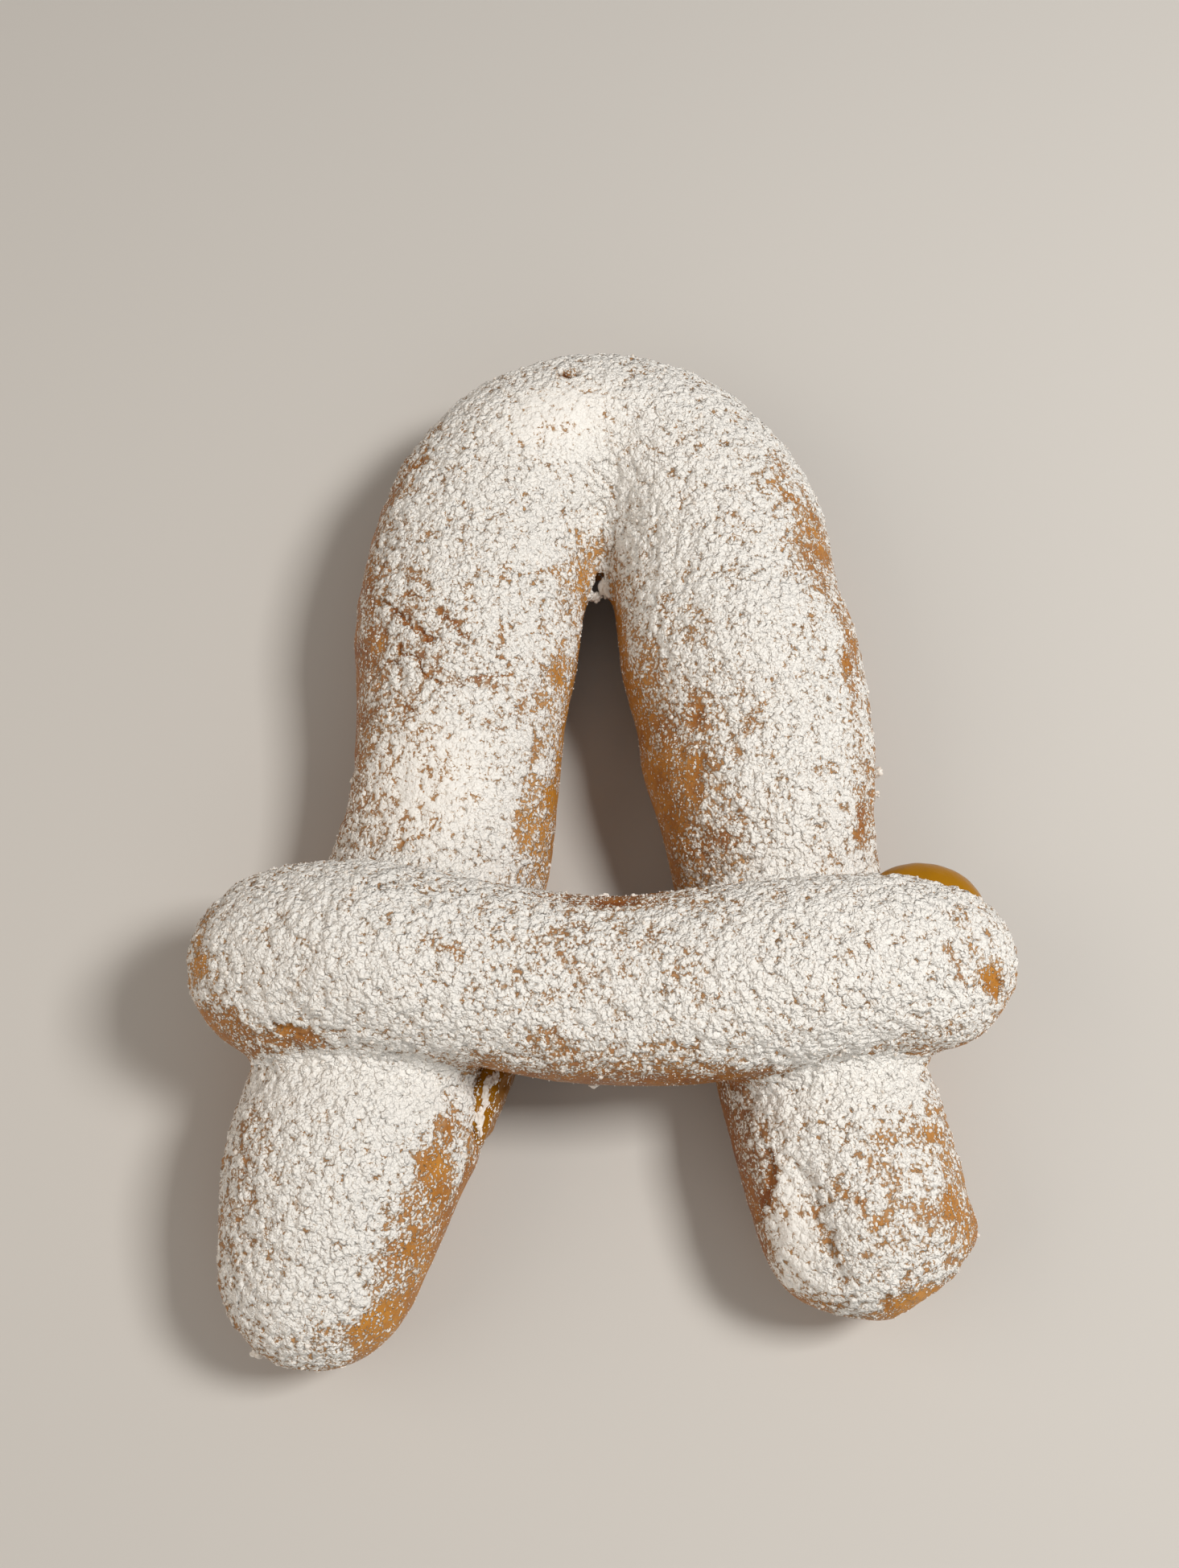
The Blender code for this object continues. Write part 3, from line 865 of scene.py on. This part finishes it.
class ROLL_OT_dough(bpy.types.Operator):
    """Make the two ropes of baked dough"""
    bl_idname = "roll.dough"
    bl_label = "Dough"

    def execute(self, context):
        noise.seed_set(NOISE_SEED)
        settings = context.scene.roll_dough
        trees = [ARCH.solid(), BAR.solid()]
        crust, dusting = crust_group(), dusting_group()
        for rope, voxel in ((ARCH, settings.arch_voxel), (BAR, settings.bar_voxel)):
            name = rope.name + "_dough"
            piece = new_object(name, merged_copy(rope.node, name))
            fine_skin(piece, voxel, 4)
            places, normals = places_of(piece.data), normals_of(piece.data)
            uneven = ragged(places)
            cover, tone = painted(places, normals, uneven, rope, open_sky(places, normals, trees))
            store(
                piece.data, cover=cover, tone=tone, clump=np.full(len(places), 0.62),
                loose=lumpiness(places))
            height = slow_noise(places, DIMPLE_SIZE, rope.seed) * settings.dimple_height
            height += swollen(places) - CRUST_SINKS * sunk(uneven, rope)
            height -= CRUST_BELOW * smooth_step(-0.22, 0.05, normals[:, 2])
            move_to(piece.data, on_the_floor(places + normals * height[:, None]))
            material = dough_material(
                name + "_dusted", crust, dusting, settings, context.scene.roll_sugar)
            dress(piece, material, DOUGH_SLOT, rope.node)
        return {"FINISHED"}


def clump_field(places, size, seed):
    """Rounded clumps of sugar, from 0 in the gaps to about 1 on top."""
    shift = seed_shift(seed)
    field = np.empty(len(places))
    for i, place in enumerate(places):
        spot = Vector(place) / size + shift
        spot += 0.3 * noise.noise_vector(1.3 * spot)
        big = noise.voronoi(spot)[0][0]
        small = noise.voronoi(1.6 * spot)[0][0]
        field[i] = 1.0 - 0.75 * big * big - 0.45 * small * small
    return np.clip(field + 0.18 * slow_noise(places, 2.6 * size, seed + 1), 0.0, 1.0)


def keep(mesh, kind, kept):
    """Drop the VERTS or FACES that the mask leaves out."""
    shape = bmesh.new()
    shape.from_mesh(mesh)
    items = shape.verts if kind == "VERTS" else shape.faces
    drop = [item for item, stays in zip(items, kept) if not stays]
    bmesh.ops.delete(shape, geom=drop, context=kind)
    shape.to_mesh(mesh)
    shape.free()


def bridged_form(name, voxel, bridge):
    """Both ropes as one form, with the seams between them filled by a fillet."""
    shape = bmesh.new()
    for node in ("arch_strand", "cross_strand"):
        mesh = merged_copy(node, node + "_copy")
        shape.from_mesh(mesh)
        bpy.data.meshes.remove(mesh)
    mesh = bpy.data.meshes.new(name)
    shape.to_mesh(mesh)
    shape.free()
    piece = new_object(name, mesh)
    push_out(piece, bridge)
    fine_skin(piece, 2.0 * voxel, 6)
    push_out(piece, -bridge)
    even_skin(piece, voxel, 20)
    return piece


class ROLL_OT_sugar(bpy.types.Operator):
    """Lay the lumpy layer of icing sugar on the ropes"""
    bl_idname = "roll.sugar"
    bl_label = "Sugar"

    def execute(self, context):
        noise.seed_set(NOISE_SEED)
        settings = context.scene.roll_sugar
        arch_tree, bar_tree = ARCH.solid(), BAR.solid()
        layer = bridged_form("sugar_layer", settings.voxel, settings.bridge)
        mesh = layer.data
        keep(mesh, "VERTS", normals_of(mesh)[:, 2] > UNDERSIDE)
        places, normals = places_of(mesh), normals_of(mesh)
        to_arch, to_bar = distances(places, arch_tree), distances(places, bar_tree)
        on_bar = to_bar < to_arch
        sky = open_sky(places, normals, (arch_tree, bar_tree))
        uneven = ragged(places)
        cover, tone = painted(places, normals, uneven, ARCH, sky)
        bar_cover, bar_tone = painted(places, normals, uneven, BAR, sky)
        cover = np.where(on_bar, bar_cover, cover)
        tone = np.where(on_bar, bar_tone, tone)
        loose = lumpiness(places)
        clump = clump_field(places, settings.clump_size, CLUMP_SEED)
        store(mesh, cover=cover, tone=tone, clump=clump, loose=loose)
        height = settings.thickness + settings.clump_height * loose * (clump - 0.55)
        height = LEAST_LAYER + smooth_step(0.15, 0.60, cover) * np.maximum(height, 0.0)
        dimples = SUGAR_DIMPLES * slow_noise(places, DIMPLE_SIZE, ARCH.seed)
        height += dimples * smooth_step(-0.2, 0.1, normals[:, 2])
        height += swollen(places) - np.where(on_bar, sunk(uneven, BAR), sunk(uneven, ARCH))
        bridges_crotch = (places[:, 1] > CROTCH_FRONT) & (places[:, 1] < CROTCH_BACK)
        bridges_crotch &= (np.abs(places[:, 0]) < CROTCH_HALF_WIDTH) & (to_arch > CROTCH_CLEARANCE)
        corners = np.array([face.vertices[:] for face in mesh.polygons])
        face_kept = ~bridges_crotch[corners].any(axis=1)
        face_bar = on_bar[corners].sum(axis=1) >= 2
        centre = places[corners].mean(axis=1)
        foot = centre[:, 1] < 0.5 * (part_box(BAR.node)[0].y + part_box(BAR.node)[1].y)
        left = centre[:, 0] < 0.0
        move_to(mesh, on_the_floor(places + normals * height[:, None]))
        store_vectors(mesh, "smooth_normal", normals_of(mesh))
        for name, mask, dough in (
            ("left_leg_sugar", ~face_bar & ~foot & left, "arch_dough"),
            ("right_leg_sugar", ~face_bar & ~foot & ~left, "arch_dough"),
            ("left_foot_sugar", ~face_bar & foot & left, "arch_dough"),
            ("right_foot_sugar", ~face_bar & foot & ~left, "arch_dough"),
            ("bar_sugar", face_bar, "bar_dough"),
        ):
            part = mesh.copy()
            part.name = name
            keep(part, "FACES", face_kept & mask)
            dress(new_object(name, part), bpy.data.materials[dough + "_dusted"], DOUGH_SLOT)
            part.normals_split_custom_set_from_vertices(vectors_in(part, "smooth_normal"))
            part.attributes.remove(part.attributes["smooth_normal"])
        bpy.data.objects.remove(layer)
        return {"FINISHED"}


def ball_template(subdivisions):
    """Vertices and triangles of a ball of radius 1."""
    shape = bmesh.new()
    bmesh.ops.create_icosphere(shape, subdivisions=subdivisions, radius=1.0)
    points = np.array([vert.co[:] for vert in shape.verts])
    faces = np.array([[vert.index for vert in face.verts] for face in shape.faces])
    shape.free()
    return points, faces


def random_turns(count, rng):
    """Rotation matrices that point every way."""
    q = rng.normal(size=(count, 4))
    w, x, y, z = (q / np.linalg.norm(q, axis=1)[:, None]).T
    return np.array([
        [1 - 2 * (y * y + z * z), 2 * (x * y - z * w), 2 * (x * z + y * w)],
        [2 * (x * y + z * w), 1 - 2 * (x * x + z * z), 2 * (y * z - x * w)],
        [2 * (x * z - y * w), 2 * (y * z + x * w), 1 - 2 * (x * x + y * y)],
    ]).transpose(2, 0, 1)


def joined_balls(name, middles, halves, turns, subdivisions, uneven, rng):
    """One mesh with a lumpy ball of its own half sizes and turn at each middle."""
    ball, faces = ball_template(subdivisions)
    shifts = rng.uniform(-50.0, 50.0, (len(middles), 3))
    bumps = np.array([
        [noise.noise(1.4 * Vector(point) + Vector(shift)) for point in ball] for shift in shifts])
    points = ball[None] * (1.0 + uneven * bumps[:, :, None]) * halves[:, None, :]
    points = np.einsum("nij,nvj->nvi", turns, points) + middles[:, None, :]
    points = on_the_floor(points.reshape(-1, 3))
    triangles = (faces[None] + len(ball) * np.arange(len(middles))[:, None, None]).reshape(-1, 3)
    mesh = bpy.data.meshes.new(name)
    mesh.from_pydata(points.tolist(), [], triangles.tolist())
    mesh.update()
    return new_object(name, mesh)


def dusted_surface(names):
    """Places, normals, cover and area share of the dusted skins."""
    parts = []
    for name in names:
        mesh = bpy.data.objects[name].data
        cover = np.empty(len(mesh.vertices), np.float32)
        mesh.attributes["cover"].data.foreach_get("value", cover)
        places = places_of(mesh)
        area = np.full(len(places), sum(face.area for face in mesh.polygons) / len(places))
        parts.append((places, normals_of(mesh), cover, area))
    return [np.concatenate(values) for values in zip(*parts)]


class ROLL_OT_grains(bpy.types.Operator):
    """Scatter loose grains and small balls of sugar over the ropes"""
    bl_idname = "roll.grains"
    bl_label = "Grains"

    def execute(self, context):
        settings = context.scene.roll_sugar
        material = sugar_material("loose_sugar", settings)
        arch = ("left_leg_sugar", "right_leg_sugar", "left_foot_sugar", "right_foot_sugar")
        for kind, (subdivisions, low, high) in LOOSE_SUGAR.items():
            for rope, surface in (("arch", arch), ("bar", ("bar_sugar",))):
                count = getattr(settings, f"{rope}_{kind}")
                rng = np.random.default_rng(LOOSE_SEEDS[rope] * subdivisions)
                places, normals, cover, area = dusted_surface(surface)
                likely = area * (0.35 + np.exp(-((cover - 0.38) / 0.22) ** 2))
                if kind == "balls":
                    likely *= smooth_step(0.12, 0.40, cover)
                chosen = rng.choice(len(places), count, replace=False, p=likely / likely.sum())
                size = low + (high - low) * rng.random(count) ** 2.0
                halves = size[:, None] * rng.uniform(0.6, 1.35, (count, 3))
                middles = places[chosen] + normals[chosen] * (0.2 * size)[:, None]
                piece = joined_balls(
                    rope + "_" + kind, middles, halves, random_turns(count, rng), subdivisions, 0.6, rng)
                dress(piece, material, DOUGH_SLOT)
        return {"FINISHED"}


class ROLL_OT_filling(bpy.types.Operator):
    """Make the fruit filling that has run out of the seams"""
    bl_idname = "roll.filling"
    bl_label = "Filling"

    def execute(self, context):
        settings = context.scene.roll_filling
        dusting = bpy.data.node_groups["sugar_dusting"]
        for name, (node, thick, thin, cover, swell, uneven) in FILLINGS.items():
            piece = new_object(name, merged_copy(node, name))
            fine_skin(piece, FILLING_VOXEL, 8)
            places, normals = places_of(piece.data), normals_of(piece.data)
            height = (swell + uneven * slow_noise(places, FILLING_RIPPLE, RIPPLE_SEED)) * MM
            move_to(piece.data, places + normals * height[:, None])
            material = jam_material(
                name, getattr(settings, thick), getattr(settings, thin), dusting,
                context.scene.roll_sugar, cover)
            dress(piece, material, FILLING_SLOT, node)
        return {"FINISHED"}


class ROLL_OT_lumps(bpy.types.Operator):
    """Stick the larger lumps of sugar to the dough and along the filling"""
    bl_idname = "roll.lumps"
    bl_label = "Lumps"

    def execute(self, context):
        rng = np.random.default_rng(LUMP_SEED)
        middles = [np.array(middle) * MM for middle, _ in LUMPS.values()]
        halves = [np.array(half) * MM for _, half in LUMPS.values()]
        turns = [np.eye(3) for _ in LUMPS]
        drip = search_tree(bpy.data.objects["jam_drip"].data)
        start, end = Vector(RIDGE_START) * MM, Vector(RIDGE_END) * MM
        along = math.atan2(end.y - start.y, end.x - start.x)
        for i in range(RIDGE_LUMPS):
            spread = Vector(rng.uniform(-RIDGE_SPREAD * MM, RIDGE_SPREAD * MM, 2))
            x, y = start.lerp(end, i / (RIDGE_LUMPS - 1)) + spread
            top = drip.ray_cast(Vector((x, y, ABOVE_ALL)), Vector((0.0, 0.0, -1.0)))[0]
            if top is None:
                raise RuntimeError("The sugared ridge misses the run-out filling")
            middles.append(np.array(top))
            halves.append(np.array(RIDGE_LUMP) * rng.uniform(0.5, 1.2) * MM)
            turns.append(np.array(Matrix.Rotation(along + rng.uniform(-0.5, 0.5), 3, "Z")))
        lumps = joined_balls(
            "sugar_lumps", np.array(middles), np.array(halves), np.array(turns), 4, 0.75, rng)
        dress(lumps, bpy.data.materials["loose_sugar"], DOUGH_SLOT)
        return {"FINISHED"}


class ROLL_OT_stage(bpy.types.Operator):
    """Set the floor, the lights and the camera"""
    bl_idname = "roll.stage"
    bl_label = "Stage"

    def execute(self, context):
        settings = context.scene.roll_stage
        shape = bmesh.new()
        bmesh.ops.create_grid(shape, x_segments=1, y_segments=1, size=0.5 * settings.floor_size)
        mesh = bpy.data.meshes.new("floor")
        shape.to_mesh(mesh)
        shape.free()
        floor = new_object("floor", mesh)
        made, _, shader = new_material("floor")
        shader.inputs["Base Color"].default_value = (*settings.floor_colour, 1.0)
        shader.inputs["Roughness"].default_value = 0.85
        mesh.materials.append(made)

        world = bpy.data.worlds.new("room")
        world.use_nodes = True
        background = world.node_tree.nodes["Background"]
        background.inputs["Color"].default_value = (1.0, 0.97, 0.93, 1.0)
        background.inputs["Strength"].default_value = settings.sky
        context.scene.world = world

        for name, (place, size, colour) in LAMPS.items():
            lamp = bpy.data.lights.new(name, "AREA")
            lamp.energy = getattr(settings, name + "_power")
            lamp.size = size
            lamp.color = colour
            light = new_object(name, lamp)
            light.location = place
            light.rotation_euler = (-place).to_track_quat("-Z", "Y").to_euler()

        camera = bpy.data.cameras.new("camera")
        camera.sensor_fit = "VERTICAL"
        camera.sensor_height = CAMERA_FILM
        camera.lens = CAMERA_LENS
        camera.clip_start = 0.01
        eye = new_object("camera", camera)
        eye.location = CAMERA_PLACE
        eye.rotation_euler = Euler((0.5 * math.pi - CAMERA_DOWN, 0.0, 0.0))
        context.scene.camera = eye
        context.scene.view_settings.view_transform = "Standard"
        return {"FINISHED"}


class ROLL_PT_panel(bpy.types.Panel):
    """Sizes, colours and steps of the bread roll"""
    bl_idname = "ROLL_PT_panel"
    bl_label = "Milk Bread Roll"
    bl_space_type = "VIEW_3D"
    bl_region_type = "UI"
    bl_category = "Bread"

    def draw(self, context):
        for step, settings in STEPS:
            box = self.layout.box()
            box.operator(step.bl_idname)
            if settings:
                group = getattr(context.scene, settings)
                for name in group.bl_rna.properties.keys():
                    if name not in ("rna_type", "name"):
                        box.prop(group, name)


STEPS = (
    (ROLL_OT_dough, "roll_dough"),
    (ROLL_OT_sugar, "roll_sugar"),
    (ROLL_OT_grains, None),
    (ROLL_OT_filling, "roll_filling"),
    (ROLL_OT_lumps, None),
    (ROLL_OT_stage, "roll_stage"),
)
SETTINGS = {
    "roll_dough": DoughSettings,
    "roll_sugar": SugarSettings,
    "roll_filling": FillingSettings,
    "roll_stage": StageSettings,
}
CLASSES = tuple(SETTINGS.values()) + tuple(step for step, _ in STEPS) + (ROLL_PT_panel,)


def register():
    for item in CLASSES:
        bpy.utils.register_class(item)
    for name, group in SETTINGS.items():
        setattr(bpy.types.Scene, name, bpy.props.PointerProperty(type=group))


def unregister():
    for name in SETTINGS:
        delattr(bpy.types.Scene, name)
    for item in reversed(CLASSES):
        bpy.utils.unregister_class(item)


def main():
    register()
    for step, _ in STEPS:
        category, name = step.bl_idname.split(".")
        getattr(getattr(bpy.ops, category), name)()


if __name__ == "__main__":
    main()
